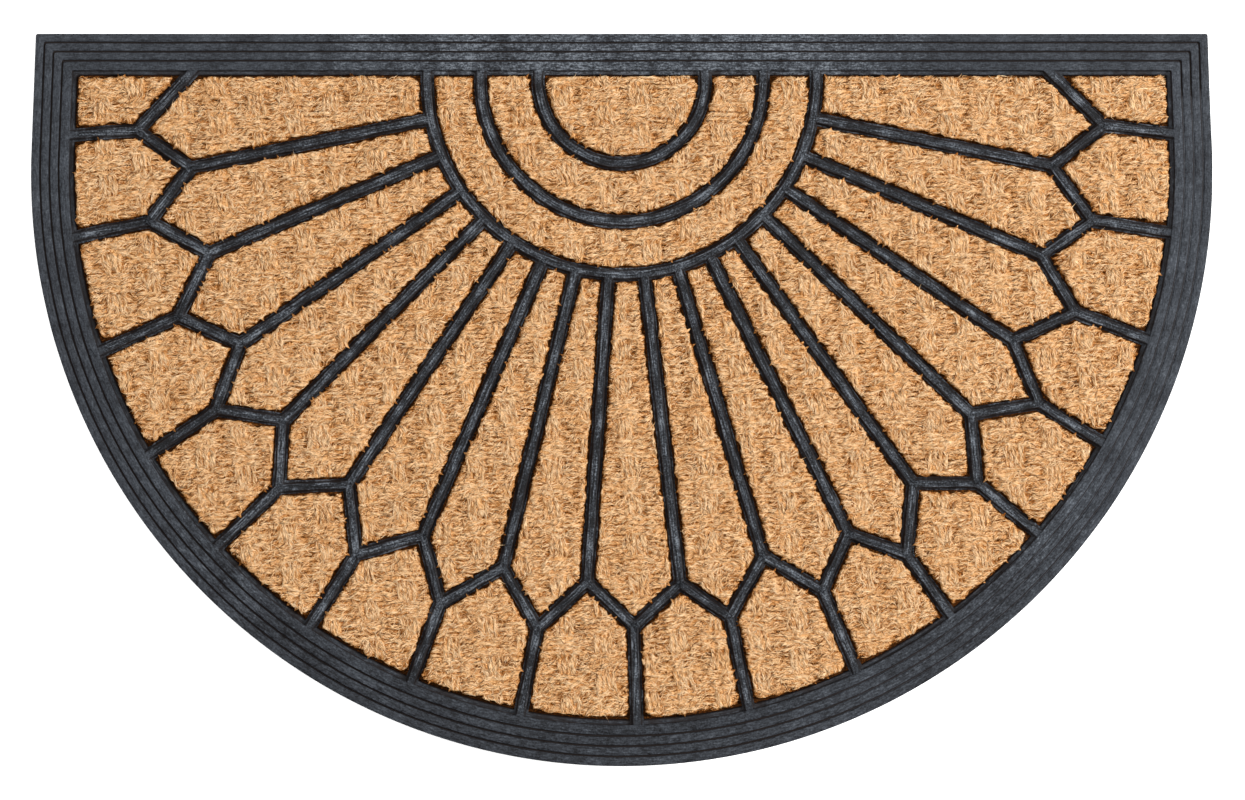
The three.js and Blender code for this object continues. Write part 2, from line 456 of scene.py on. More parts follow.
def outline(inset):
    radius, top = ARC_RADIUS - SIDE_SHARE * inset, DEPTH / 2 - TOP_SHARE * inset
    middle = ARC_Y + ARC_LIFT * inset
    corner = (radius - (top - middle) * math.sin(SIDE_LEAN)) / math.cos(SIDE_LEAN)
    foot = radius * np.array([math.cos(SIDE_LEAN), math.sin(SIDE_LEAN)]) + [0, middle]
    arc = np.linspace(SIDE_LEAN, -math.pi - SIDE_LEAN, ARC_STEPS + 1)
    half_top = np.linspace(0, corner - CORNER_ROUND, TOP_STEPS // 2 + 1)[1:]
    bend = np.linspace(math.pi / 2, 0, CORNER_STEPS + 1)[1:]
    right = [np.stack([half_top, np.full(len(half_top), top)], 1)]
    hub = np.array([corner - CORNER_ROUND, top - CORNER_ROUND])
    right.append(hub + CORNER_ROUND * directions(bend))
    side = np.linspace(0, 1, SIDE_STEPS + 1)[1:-1, None]
    right.append(right[-1][-1] * (1 - side) + foot * side)
    right = np.concatenate(right)
    lower = radius * directions(arc) + [0, middle]
    left = right[::-1] * [-1, 1]
    return np.concatenate([[[0, top]], right, lower, left])


print("points round the outline:", len(outline(0)))


# %% Loft rings into a closed shape
def loft(rings):
    """Closed rings of equal length, joined one to the next and capped at both ends."""
    count, size = len(rings), len(rings[0])
    index = np.arange(count * size).reshape(count, size)
    after = np.roll(index, -1, axis=1)
    sides = np.stack([index[:-1], after[:-1], after[1:], index[1:]], axis=2).reshape(-1, 4)
    return np.concatenate(rings), [sides, index[0][::-1][None], index[-1][None]]


def facing_out(obj):
    shape = bmesh.new()
    shape.from_mesh(obj.data)
    bmesh.ops.recalc_face_normals(shape, faces=shape.faces)
    shape.to_mesh(obj.data)
    shape.free()
    return obj


# %% The border with its ribs
RIB_SWAY, RIB_UNLEVEL = (0.14, 60, 11), (0.12, 90, 12)
GROOVE_FILL, FILL_FADE, FILL_BELOW = 1.1, (0.10, 0.45), 195.0


def make_border():
    rings = []
    for inset, height, groove in border_section():
        ring = outline(inset)
        if 0 < inset < BORDER:
            ring = ring * (1 - uneven(ring, *RIB_SWAY)[:, None] / ARC_RADIUS)
        level = np.full(len(ring), height)
        if height > FLANGE_TOP:
            level = level + uneven(ring, *RIB_UNLEVEL)
        if groove:
            filled = fade(ring[:, 0] / ARC_RADIUS, *FILL_FADE) * (ring[:, 1] < FILL_BELOW)
            level = level + GROOVE_FILL * filled
        rings.append(np.column_stack([ring, level]))
    return facing_out(mesh_object("rubber_moulding_piece", *loft(rings)))


moulding = make_border()
print("border:", triangles_of(moulding), "triangles")

# %% The bars' section and their sweep
FLANGE_LOW, BAR_TOP = 4.6, 8.8
HALF_BAR = (
    # distance from the middle line, height
    (4.20, FLANGE_LOW),
    (4.20, FLANGE_TOP - 0.15),
    (4.00, FLANGE_TOP),
    (2.95, FLANGE_TOP + 0.1),
    (2.70, 7.9),
    (2.50, 8.40),
    (2.15, BAR_TOP - 0.06),
    (1.75, BAR_TOP),
    (1.30, BAR_TOP - 0.28),
    (0.80, BAR_TOP - 0.05),
    (0.00, BAR_TOP - 0.15),
)
BAR_STEP = 5.0
BAR_SWAY, BAR_UNWIDE, BAR_UNLEVEL = (0.18, 45), (0.05, 30), (0.12, 40)


def left_of(ways):
    return np.stack([-ways[:, 1], ways[:, 0]], axis=1)


def sweep(path, seed):
    """The bars' section along a line of points, a little uneven in width and height."""
    way = np.gradient(path, axis=0)
    way /= np.linalg.norm(way, axis=1)[:, None]
    normal = left_of(way)
    middle = path + normal * uneven(path, *BAR_SWAY, seed)[:, None]
    wide = 1 + uneven(path, *BAR_UNWIDE, seed + 1)
    high = uneven(path, *BAR_UNLEVEL, seed + 2)
    section = np.array([*HALF_BAR, *((-half, z) for half, z in reversed(HALF_BAR[:-1]))])
    half, z = section[:, :1], section[:, 1]
    rings = []
    for k, centre in enumerate(middle):
        level = z + high[k] * (z > FLANGE_TOP)
        rings.append(np.column_stack([centre + normal[k] * half * wide[k], level]))
    return loft(rings)


def bar_paths():
    for start, end in BARS:
        steps = max(2, math.ceil(np.linalg.norm(end - start) / BAR_STEP))
        yield start + np.linspace(0, 1, steps + 1)[:, None] * (end - start)
    for radius in SUN_RADII:
        root = math.asin((SUN_ROOT_Y - SUN[1]) / radius)
        turn = np.linspace(math.pi - root, 2 * math.pi + root, math.ceil(math.pi * radius / BAR_STEP))
        yield SUN + radius * directions(turn)


print("bars to sweep:", len(list(bar_paths())))

# %% Join border and bars into one closed piece
FIRST_BAR_SEED, SEEDS_A_BAR = 20, 3


def union(base, parts):
    group = bpy.data.collections.new("parts to join")
    for part in parts:
        group.objects.link(part)
    step = base.modifiers.new("join", "BOOLEAN")
    step.operation, step.solver = "UNION", "MANIFOLD"
    step.operand_type, step.collection = "COLLECTION", group
    done = bpy.data.meshes.new_from_object(base.evaluated_get(bpy.context.evaluated_depsgraph_get()))
    base.modifiers.clear()
    done.materials.clear()
    base.data = done
    for part in parts:
        bpy.data.meshes.remove(part.data)
    bpy.data.collections.remove(group)
    return base


bars = []
for k, path in enumerate(bar_paths()):
    swept = sweep(path, FIRST_BAR_SEED + SEEDS_A_BAR * k)
    bars.append(facing_out(mesh_object(f"bar_{k}", *swept)))
union(moulding, bars)
print("moulding:", triangles_of(moulding), "triangles")

# %% [markdown]
# ## Grain, dust and painted shade on the rubber
# Feet rub the tops of the ribs and bars pale. Down in the grooves, the channels and on the ledge, on
# the walls and on the bars' shoulders, the colour is darkened as painted shade. A mask could be
# painted by hand, but here each point of the mesh gets its values from its height and from where it
# lies: the bloom is strongest at the middle of the straight edge, and the foot of the arc and the left
# of the round edge get painted shade, less of it on the right.

# %% Painted shade: how high each place stands, from grooves and channels at 0 to the tops at 1
RIB_EDGE, RIB_FADE = 0.1, (-1.0, 0.7)
LEDGE_LIFT, LEDGE_OVER, LEDGE_MOST = 0.2, 0.7, 0.25
STEM_FADE = (FLANGE_TOP + 0.6, 1.8)
# painted shade on the bars' shoulders
SHOULDER_SHADE, CROWN_FADE = 0.8, (1.4, 1.3)
FLANGE_BAND, FLANGE_FADE = 0.2, (2.5, 1.4)
# the flange beside each bar gets less painted shade, with patches of dust along it
FLANGE_LIT_SHARE, FLANGE_PATCHES, FLANGE_MOST = 0.85, (0.45, 14, 71), 1.2


def bar_lit_share(flat, height, across):
    off = np.abs(across)
    # painted shade: the bars' walls darken downwards, and their shoulders too
    stem = fade(height, *STEM_FADE) * (1 - SHOULDER_SHADE * fade(off, *CROWN_FADE))
    beside = fade(off, *FLANGE_FADE) * (height > FLANGE_TOP - FLANGE_BAND)
    flange = beside * np.clip(FLANGE_LIT_SHARE + uneven(flat, *FLANGE_PATCHES), 0, FLANGE_MOST)
    return np.where(height > FLANGE_TOP + FLANGE_BAND, stem, np.maximum(stem, flange))


def rubber_lit_share(flat, height, inset, across):
    # painted shade: grooves and the ledge take the dark colour
    rib = np.clip(np.floor((inset + GROOVE_AT / 4) / RIB_PITCH), 0, RIB_COUNT - 1)
    on_rib = fade(height - (RIM_TOP + RIB_STEP * rib), *RIB_FADE)
    on_ledge = np.clip(LEDGE_LIFT + (height - FLANGE_TOP) / LEDGE_OVER, 0, LEDGE_MOST)
    inner = np.maximum(on_ledge * (inset < BORDER + LEDGE), bar_lit_share(flat, height, across))
    return np.where(inset < BORDER + RIB_EDGE, on_rib, inner)


# %% Dust, painted shade and mottling
TOP_CALM, ROUND_CALM, FOOT_FADE = (110, 110), (230, 80), (60, 100)
RIGHT_FADE, LEFT_FADE, LEFT_BELOW = (0.2, 0.4), (0.6, 0.25), (-130, 80)
TOP_DUST, TOP_CALM_LOSS = 0.49, 0.11
ROUND_DUST, CALM_GAIN, FOOT_SHADE, RIGHT_RELIEF, LEFT_SHADE = 0.40, 0.03, 0.11, 0.6, 0.075
BORDER_MOTTLE, CALM_MOTTLE, FOOT_MOTTLE = 1.3, 0.65, 0.5
RAY_DUST, BAR_DUST, BAR_MOTTLE = 0.22, 0.27, 1.8


def border_dust_and_shade(flat, on_top):
    """How much dust and painted shade the border has, and how mottled it is."""
    aside, down = np.abs(flat[:, 0]), -flat[:, 1]
    sideways = flat[:, 0] / ARC_RADIUS
    calm = np.where(on_top, fade(aside, *TOP_CALM), fade(aside, *ROUND_CALM))
    foot = fade(down, *FOOT_FADE)
    left = fade(-sideways, *LEFT_FADE) * fade(down, *LEFT_BELOW)
    # painted shade: the foot of the arc is darker, less so on the right, and the left of the round edge
    foot_shade = FOOT_SHADE * foot * (1 - RIGHT_RELIEF * fade(sideways, *RIGHT_FADE))
    round_dust_and_shade = ROUND_DUST + CALM_GAIN * calm - foot_shade - LEFT_SHADE * left
    dust = np.where(on_top, TOP_DUST - TOP_CALM_LOSS * calm, round_dust_and_shade)
    return dust, BORDER_MOTTLE - CALM_MOTTLE * calm - FOOT_MOTTLE * foot * (1 - calm)


# %% Give the moulding its grain and its finish
BAR_GRAIN_AT, BAR_GRAIN_STEP = 40, 11
TOP_GRAIN_AT, BORDER_GRAIN = 2000, 3
TOUCH, LEDGE_TOUCH = 0.01, 0.05


def grain_rubber(obj):
    points = points_of(obj)
    flat, height = points[:, :2], points[:, 2]
    inset = inset_of(flat)
    across, along, number = nearest_bar(flat)
    on_border = inset < BORDER + LEDGE + LEDGE_TOUCH
    on_top = DEPTH / 2 - flat[:, 1] < inset + TOUCH
    turn = np.arctan2(flat[:, 0], -(flat[:, 1] - ARC_Y)) * ARC_RADIUS
    round_it = np.where(on_top, flat[:, 0] + TOP_GRAIN_AT, turn)
    dust, mottle = border_dust_and_shade(flat, on_top)
    bar_dust = np.where(number < len(RAYS), RAY_DUST, BAR_DUST)
    bar_grain = across + BAR_GRAIN_AT + BAR_GRAIN_STEP * number
    point_values(obj, "across", np.where(on_border, inset, bar_grain))
    point_values(obj, "along", np.where(on_border, BORDER_GRAIN * round_it, along))
    # lift: 0 where the painted shade is full, 1 on the tops
    point_values(obj, "lift", rubber_lit_share(flat, height, inset, across))
    point_values(obj, "mottle", np.where(on_border, mottle, BAR_MOTTLE))
    # dust, with painted shade by place on the border
    point_values(obj, "dust_and_shade", np.where(on_border, dust, bar_dust))


grain_rubber(moulding)
moulding.data.materials.append(rubber)
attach(moulding, "root")
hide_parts("rubber_moulding")
print("grain on", len(moulding.data.vertices), "points of the rubber")

# %% [markdown]
# ## The weave
# The coir panel is a basket weave: groups of four thick yarns pass over and under each other. In a
# row the weft yarns float over one group of warp yarns and dive under the next, and the warp shows as
# short upright bundles between the floats. Each yarn could be a tube of its own, but most of it would
# lie hidden, so one formula gives the height of the face at any point and says which yarn lies on top
# there. The loom's lines aren't square to the mat, so the lattice is skewed, and it wanders a little.

# %% The lattice of the weave
COLUMN = np.array([24.4, 0.61])
ROW = np.array([-0.95, 12.4])
BLOCK_AT = np.array([6.6, -67.2])
LATTICE = np.linalg.inv(np.stack([COLUMN, ROW], axis=1))
LOOM_WANDER = ((1.1, 70, 31), (0.7, 55, 32))
YARN_WAVES = ((0.9, 17, 34), (0.6, 15, 35))


def lattice_at(points):
    """Columns and rows of the weave counted from one raised block, with the loom's wander."""
    wander, waves = [
        np.stack([uneven(points, *kind) for kind in pair], 1) for pair in (LOOM_WANDER, YARN_WAVES)
    ]
    return LATTICE @ (points + wander + waves - BLOCK_AT).T


print("a column is", COLUMN[0], "mm wide and a row", ROW[1], "mm high")

# %% The basket weave as a formula
WEFT_YARNS, WARP_YARNS = 4, 4
WEFT_PITCH = ROW[1] / WEFT_YARNS
WARP_PITCH = 3.1
FLOAT_RISE, YARN_ROUND, WARP_RISE = 0.5, 0.95, 0.15
FAR_BELOW = -9
CROSSING = (0.3, 7, 36)
WARP_NUMBERS = 1e5


def yarn_crown(off, pitch):
    return YARN_ROUND * np.sqrt(np.clip(1 - (2 * off / pitch) ** 2, 0, 1))


def weave_at(points):
    """Height of the face above its mean level, whether the warp is on top, and that yarn's number."""
    p, q = lattice_at(points)
    row, column = np.round(q), np.round(p)
    across_row = (q - row + 0.5) * WEFT_YARNS
    off = (across_row - np.floor(across_row) - 0.5) * WEFT_PITCH
    weft = -FLOAT_RISE * np.cos(math.pi * (p - row)) + yarn_crown(off, WEFT_PITCH)
    across_band = (p - column) * COLUMN[0] / WARP_PITCH + WARP_YARNS / 2
    off = (across_band - np.floor(across_band) - 0.5) * WARP_PITCH
    warp = FLOAT_RISE * np.cos(math.pi * (q - column)) + yarn_crown(off, WARP_PITCH) + WARP_RISE
    warp[(across_band < 0) | (across_band > WARP_YARNS)] = FAR_BELOW
    on_top = warp + uneven(points, *CROSSING) > weft
    warp_number = WARP_NUMBERS + column * WARP_YARNS + np.floor(across_band)
    return np.maximum(weft, warp), on_top, np.where(on_top, warp_number, np.floor(q * WEFT_YARNS))


print("pitch of the weft yarns:", round(WEFT_PITCH, 2), "mm, of the warp yarns:", WARP_PITCH, "mm")

# %% The height of the coir's face
COIR_LEVEL = 8.6
EDGE_ROUND, EDGE_DROP = 1.6, 0.8
FACE_UNLEVEL = (0.25, 25, 33)


def face_height(points, depth):
    """Height of the coir's face above the floor, rounded off towards the edge of a field."""
    edge = np.clip(1 - depth / EDGE_ROUND, 0, 1) ** 2
    return COIR_LEVEL + weave_at(points)[0] + uneven(points, *FACE_UNLEVEL) - EDGE_DROP * edge


# %% [markdown]
# ## The coir panel
# The panel could be one big plane with a displacement, but its fields have crooked edges along the
# bars. So a fine grid is laid over the whole mat, the cells that touch coir are kept, and the corners
# that lie over rubber are drawn back to the edge of their field. Walls and a floor close each field,
# and a thin web under the bars joins them, as the squeezed weave does on the real mat.

# %% Grid of the woven face
GRID = 1.6
RAGGED, RAGGED_WAVES = 0.45, ((11, 41), (5, 42))


def make_grid():
    reach = np.array([WIDTH / 2 - BORDER, DEPTH / 2 - BORDER])
    axes = [np.arange(-side, side + GRID, GRID) for side in reach]
    spots = np.stack(np.meshgrid(*axes, indexing="ij"), axis=-1)
    flat = spots.reshape(-1, 2)
    depth = coir_depth(flat) + RAGGED * sum(ripple(flat, *wave) for wave in RAGGED_WAVES)
    return axes, spots, depth.reshape(spots.shape[:2])


AXES, SPOTS, DEPTHS = make_grid()
SLOPES = np.stack(np.gradient(DEPTHS, GRID), axis=-1)


def sampled(table, points):
    """Reads a table on the grid at any points, with straight lines between its places."""
    at = [(points[:, k] - AXES[k][0]) / GRID for k in (0, 1)]
    low = [np.clip(np.floor(a).astype(int), 0, len(AXES[k]) - 2) for k, a in enumerate(at)]
    u, v = [np.clip(a - b, 0, 1) for a, b in zip(at, low)]
    i, j = low
    near = table[i, j] * (1 - v) + table[i, j + 1] * v
    far = table[i + 1, j] * (1 - v) + table[i + 1, j + 1] * v
    return near * (1 - u) + far * u


def four_corners(table):
    """The table at the four corners of every cell, in turn round it."""
    return table[:-1, :-1], table[1:, :-1], table[1:, 1:], table[:-1, 1:]


def without_pinches(keep):
    """Drops cells that meet the rest only at a corner."""
    while True:
        a, b, c, d = four_corners(keep)
        first, second = a & c & ~b & ~d, b & d & ~a & ~c
        if not (first.any() or second.any()):
            return keep
        a[first] = False
        b[second] = False


kept_cells = without_pinches(np.any(four_corners(DEPTHS > 0), axis=0))
print("cells of the woven face:", int(kept_cells.sum()))


# %% The rim of the fields, as closed loops of edges
def rim_edges(keep, index):
    """Directed edges round the kept cells, with the coir on their left."""
    solid = np.pad(keep, 1)
    middle = solid[1:-1, 1:-1]
    corner = four_corners(index)
    beside = (solid[1:-1, :-2], solid[2:, 1:-1], solid[1:-1, 2:], solid[:-2, 1:-1])
    edges = []
    for k, other in enumerate(beside):
        bare = middle & ~other
        edges.append(np.stack([corner[k][bare], corner[(k + 1) % 4][bare]], axis=1))
    return np.concatenate(edges)


def closed_loops(edges):
    following = dict(edges.tolist())
    while following:
        start, here = following.popitem()
        loop = [start]
        while here != start:
            loop.append(here)
            here = following.pop(here)
        yield loop


# %% Close the fields with walls, floors and the web
FIELD_LOW = 4.1
WEB_LOW, WEB_TOP, WEB_GAP, WEB_SKIP = 2.5, 4.3, 0.3, 4
LEAST_SLOPE, FARTHEST_BACK = 0.3, 2.5


def make_web():
    ring = outline(BORDER + LEDGE + WEB_GAP)[::WEB_SKIP]
    rings = [np.column_stack([ring, np.full(len(ring), z)]) for z in (WEB_LOW, WEB_TOP)]
    return facing_out(mesh_object("web", *loft(rings)))


def make_panel():
    count = DEPTHS.size
    index = np.arange(count).reshape(DEPTHS.shape)
    flat, depth = SPOTS.reshape(-1, 2).copy(), DEPTHS.ravel()
    slope = SLOPES.reshape(-1, 2)
    slope = slope / np.maximum(np.linalg.norm(slope, axis=1), LEAST_SLOPE)[:, None]
    back = np.where(depth < 0, -depth, 0)[:, None]
    flat += np.where(back < FARTHEST_BACK, back, 0) * slope
    face = np.column_stack([flat, face_height(flat, np.maximum(depth, 0))])
    floor = np.column_stack([flat, np.full(count, FIELD_LOW)])
    top = np.stack([corner[kept_cells] for corner in four_corners(index)], axis=1)
    edges = rim_edges(kept_cells, index)
    walls = np.stack([edges[:, 1], edges[:, 0], edges[:, 0] + count, edges[:, 1] + count], axis=1)
    floors = [np.array(loop[::-1])[None] + count for loop in closed_loops(edges)]
    return np.concatenate([face, floor]), [top, walls, *floors]


def only_used(points, faces):
    used = np.unique(np.concatenate([np.asarray(block).ravel() for block in faces]))
    number = np.zeros(len(points), int)
    number[used] = np.arange(len(used))
    return points[used], [number[block] for block in faces]


panel = facing_out(mesh_object("coir_panel_woven", *only_used(*make_panel())))
union(panel, [make_web()])
print("coir panel:", triangles_of(panel), "triangles")

# %% [markdown]
# ## Finish: coir
# Coir is the husk of the coconut. Its fibres run from pale straw to dark brown. The woven ground is
# streaked along its yarns, and its colour is darkened down between the yarns, in the gaps between
# tufts, down the rim walls and where it lies low: that is painted shade. Each fibre carries one value,
# its tone, so that neighbours differ as real fibres do; fibres lying lower get a darker tone, which is
# painted shade too. A picture of coir could be laid over both, but noise and colour ramps stay sharp
# close up and never repeat.

# %% Coir ground
CURL = (0.012, 0.012, 0.012)
STREAKS_ALONG_X, STREAKS_ALONG_Y = (420, 2000, 300), (2000, 420, 300)
STREAK_SHARE, CREASE_BUMP = 0.7, 0.5
# The lowest stops are painted shade, for the creases between yarns and the rim walls.
COIR_GROUND_TINTS = (
    (0.00, (0.048, 0.019, 0.006)),
    (0.18, (0.072, 0.018, 0.003)),
    (0.42, (0.345, 0.120, 0.024)),
    (0.70, (0.680, 0.350, 0.136)),
    (1.00, (0.830, 0.510, 0.250)),
)


def from_middle(tree, place):
    """Distance from the middle of a yarn, for a value that grows by one with each yarn."""
    part = add_math(tree, "FRACT", place, 0.0)
    return add_math(tree, "ABSOLUTE", add_math(tree, "SUBTRACT", part, 0.5), 0.0)


def add_coir_streaks(tree, place, warp):
    """A curled noise, drawn out along whichever yarn lies on top."""
    noise = add_node(tree, "ShaderNodeTexNoise", {"Vector": place, "Scale": 220.0, "Detail": 2.0})
    inputs = {0: noise.outputs["Color"], 1: CURL, 2: place}
    bent = add_node(tree, "ShaderNodeVectorMath", inputs, operation="MULTIPLY_ADD").outputs[0]
    streaks = []
    for stretch in (STREAKS_ALONG_X, STREAKS_ALONG_Y):
        drawn = add_node(tree, "ShaderNodeMapping", {"Vector": bent, "Scale": stretch}).outputs[0]
        streaks.append(add_noise(tree, drawn, scale=1.0, detail=3.0, roughness=0.6))
    return add_mix(tree, warp, *streaks)


def add_coir_crease(tree, warp):
    """1 in the creases between yarns, 0 on the yarns."""
    rows = from_middle(tree, add_math(tree, "MULTIPLY", add_value(tree, "row"), WEFT_YARNS))
    column = add_math(tree, "FRACT", add_math(tree, "ADD", add_value(tree, "column"), 0.5), 0.0)
    bands = add_math(tree, "MULTIPLY", add_math(tree, "SUBTRACT", column, 0.5), COLUMN[0] / WARP_PITCH)
    return add_range(tree, add_mix(tree, warp, rows, from_middle(tree, bands)), low=0.26, high=0.5)


def make_coir_ground():
    material, tree, shader = new_material("coir ground")
    place, warp = add_place(tree), add_value(tree, "warp")
    streaks, crease = add_coir_streaks(tree, place, warp), add_coir_crease(tree, warp)
    streaky = add_math(tree, "MULTIPLY", add_range(tree, streaks, low=0.36, high=0.66), STREAK_SHARE)
    patchy = add_range(tree, add_noise(tree, place, scale=130.0), low=0.4, high=0.65, to_high=0.4)
    # rise darkens low places as painted shade
    shade = add_math(tree, "ADD", streaky, add_value(tree, "rise"))
    # painted shade in the creases between yarns
    shade = add_math(tree, "SUBTRACT", shade, add_math(tree, "MULTIPLY", crease, patchy))
    tree.links.new(add_ramp(tree, shade, COIR_GROUND_TINTS), shader.inputs["Base Color"])
    shader.inputs["Roughness"].default_value = 0.9
    shader.inputs["Specular IOR Level"].default_value = 0.015
    height = add_math(tree, "SUBTRACT", streaks, add_math(tree, "MULTIPLY", crease, CREASE_BUMP))
    bump = add_node(tree, "ShaderNodeBump", {"Height": height, "Strength": 1.0, "Distance": 0.0010})
    tree.links.new(bump.outputs[0], shader.inputs["Normal"])
    return material


coir_ground = make_coir_ground()
print("made", coir_ground.name)

# %% Coir fibre
COIR_FIBRE_TINTS = (
    (0.00, (0.095, 0.024, 0.003)),
    (0.16, (0.297, 0.114, 0.027)),
    (0.30, (0.570, 0.286, 0.113)),
    (0.55, (0.780, 0.465, 0.219)),
    (0.80, (0.840, 0.559, 0.300)),
    (1.00, (0.862, 0.610, 0.362)),
)


def make_coir_fibre():
    material, tree, shader = new_material("coir fibre")
    place = add_place(tree)
    patches = add_noise(tree, place, scale=100.0, detail=3.0, roughness=0.6)
    patch = add_range(tree, patches, low=0.35, high=0.65, to_low=-0.10, to_high=0.30)
    stain = add_range(tree, add_noise(tree, place, scale=33.0, detail=1.0), low=0.66, high=0.78, to_high=0.32)
    tone = add_math(tree, "ADD", add_value(tree, "tone"), patch)
    tone = add_math(tree, "SUBTRACT", tone, stain)
    tree.links.new(add_ramp(tree, tone, COIR_FIBRE_TINTS), shader.inputs["Base Color"])
    shader.inputs["Roughness"].default_value = 0.6
    shader.inputs["Specular IOR Level"].default_value = 0.02
    return material


coir_fibre = make_coir_fibre()
print("made", coir_fibre.name)

# %% Give the panel its grain and its finish
DRAWN_OUT = 0.5
TUFT_WAVES = (3.6, 62)
LEVEL_RISE, RISE_OVER, TUFT_RISE = 0.08, 4.0, 0.08
RIM_SHADE, RIM_FADE = 0.28, (0.3, 0.8)


def drawn_ripple(points, warp, wavelength, seed):
    """A ripple that is drawn out along the yarns on top."""
    drawn = np.where(warp[:, None], points * [1, DRAWN_OUT], points * [DRAWN_OUT, 1])
    return ripple(drawn, wavelength, seed)


def tuft(points):
    """Where fibres stand thick: they gather along their yarns and leave dark gaps between."""
    return drawn_ripple(points, weave_at(points)[1], *TUFT_WAVES)


def grain_panel(obj):
    points = points_of(obj)
    flat, above = points[:, :2], points[:, 2] - COIR_LEVEL
    column, row = lattice_at(flat)
    # painted shade: rise is low where the ground lies low and between tufts, and lower still down the rim
    rise = np.clip(LEVEL_RISE + above / RISE_OVER + TUFT_RISE * tuft(flat), 0, 1)
    point_values(obj, "rise", rise - RIM_SHADE * fade(-above, *RIM_FADE))
    point_values(obj, "warp", weave_at(flat)[1].astype(float))
    point_values(obj, "column", column)
    point_values(obj, "row", row)


grain_panel(panel)
panel.data.materials.append(coir_ground)
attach(panel, "root")
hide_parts("coir_panel")
print("grain on", len(panel.data.vertices), "points of the coir")

# %% [markdown]
# ## Loose and spun fibres
# Seen from a step away the coir is all fibres. Particle hair would show them, but it has no faces of
# its own, so each fibre is a thin closed spindle with three sides. The yarns are spun, so a fibre
# crosses its yarn at a slant, and it hugs the weave below it. The fibres of one kind are made
# together as one mesh from arrays.

# %% The spindle's faces, and where each corner lies on a map
SIDES = 3
STATIONS = {1: np.array([-0.5, 0.0, 0.5]), 2: np.array([-0.5, -0.2, 0.2, 0.5])}
CELL_MARGIN, CELL_FILL = 0.08, 0.84


def spindle_faces(rings):
    """Faces as point numbers, and each corner's place along and round the spindle."""
    s = STATIONS[rings]
    last = 1 + rings * SIDES
    tris, quads = [], []
    for k in range(SIDES):
        n = (k + 1) % SIDES
        tris.append(((0, s[0], k + 0.5), (1 + n, s[1], k + 1), (1 + k, s[1], k)))
        for r in range(1, rings):
            a, b = 1 + (r - 1) * SIDES, 1 + r * SIDES
            near = ((a + k, s[r], k), (a + n, s[r], k + 1))
            far = ((b + n, s[r + 1], k + 1), (b + k, s[r + 1], k))
            quads.append((*near, *far))
        end = last - SIDES
        tris.append(((last, s[-1], k + 0.5), (end + k, s[-2], k), (end + n, s[-2], k + 1)))
    return [np.array(block).reshape(-1, size, 3) for block, size in ((tris, 3), (quads, 4))]


def spindle_map(count, blocks_of_faces):
    """A small cell of the unit square for every fibre, so that no two share a place."""
    cells = math.ceil(math.sqrt(count))
    cell = np.stack([np.arange(count) % cells, np.arange(count) // cells], 1)[:, None, None]
    blocks = []
    for faces in blocks_of_faces:
        inner = np.stack([faces[..., 1] + 0.5, faces[..., 2] / SIDES], axis=-1)
        blocks.append(((cell + CELL_MARGIN + CELL_FILL * inner[None]) / cells).reshape(-1, 2))
    return np.concatenate(blocks)


# %% The lines of the fibres
TRIM_STEPS, LEAST_SHARE = 8, 0.08


def fibre_line(spots, u, v, length, bend, s):
    """Points of each fibre at the shares s of its length, from -0.5 to 0.5, where its bend is full."""
    reach, sag = length[:, None] * s, 4 * (bend * length)[:, None] * s**2
    return spots[:, None] + u[:, None] * reach[..., None] + v[:, None] * sag[..., None]


def fibre_paths(spots, heading, length, bend, stray, bound, stations):
    """Points of each fibre, cut off where it would leave its yarn or reach over the rubber."""
    count = len(spots)
    u = directions(heading)
    v = left_of(u)
    yarn = weave_at(spots)[2]
    shares = np.repeat(stations[None], count, axis=0)
    for side in (-1, 1):
        steps = np.repeat(side * np.linspace(0, 0.5, TRIM_STEPS + 1)[None, 1:], count, axis=0)
        line = fibre_line(spots, u, v, length, bend, steps).reshape(-1, 2)
        free = sampled(DEPTHS, line).reshape(count, -1) > -stray[:, None]
        same = weave_at(line)[2].reshape(count, -1) == yarn[:, None]
        kept = np.cumprod(free & (same | ~bound[:, None]), axis=1).mean(axis=1)
        shares[:, np.sign(stations) == side] *= np.maximum(kept, LEAST_SHARE)[:, None]
    return fibre_line(spots, u, v, length, bend, shares), v


# %% Many fibres as one mesh
OVER_RUBBER, BAR_CLEAR = -0.4, 0.2
DEEPEST_DIP, LIFT_FALL = 0.4, 2.2
TIP_SHADE = 0.14


def fibre_heights(path, stations, lift, radius):
    """Each fibre hugs the weave, or the bar that it strays over, and bows up at its middle."""
    flat = path.reshape(-1, 2)
    depth = sampled(DEPTHS, flat)
    on_coir = face_height(flat, np.maximum(depth, 0))
    ground = np.where(depth > OVER_RUBBER, on_coir, BAR_TOP + BAR_CLEAR).reshape(len(path), -1)
    rise = np.maximum(ground, ground.mean(axis=1)[:, None] - DEEPEST_DIP)
    return rise + lift[:, None] * (1 - LIFT_FALL * np.abs(stations)) + radius[:, None]


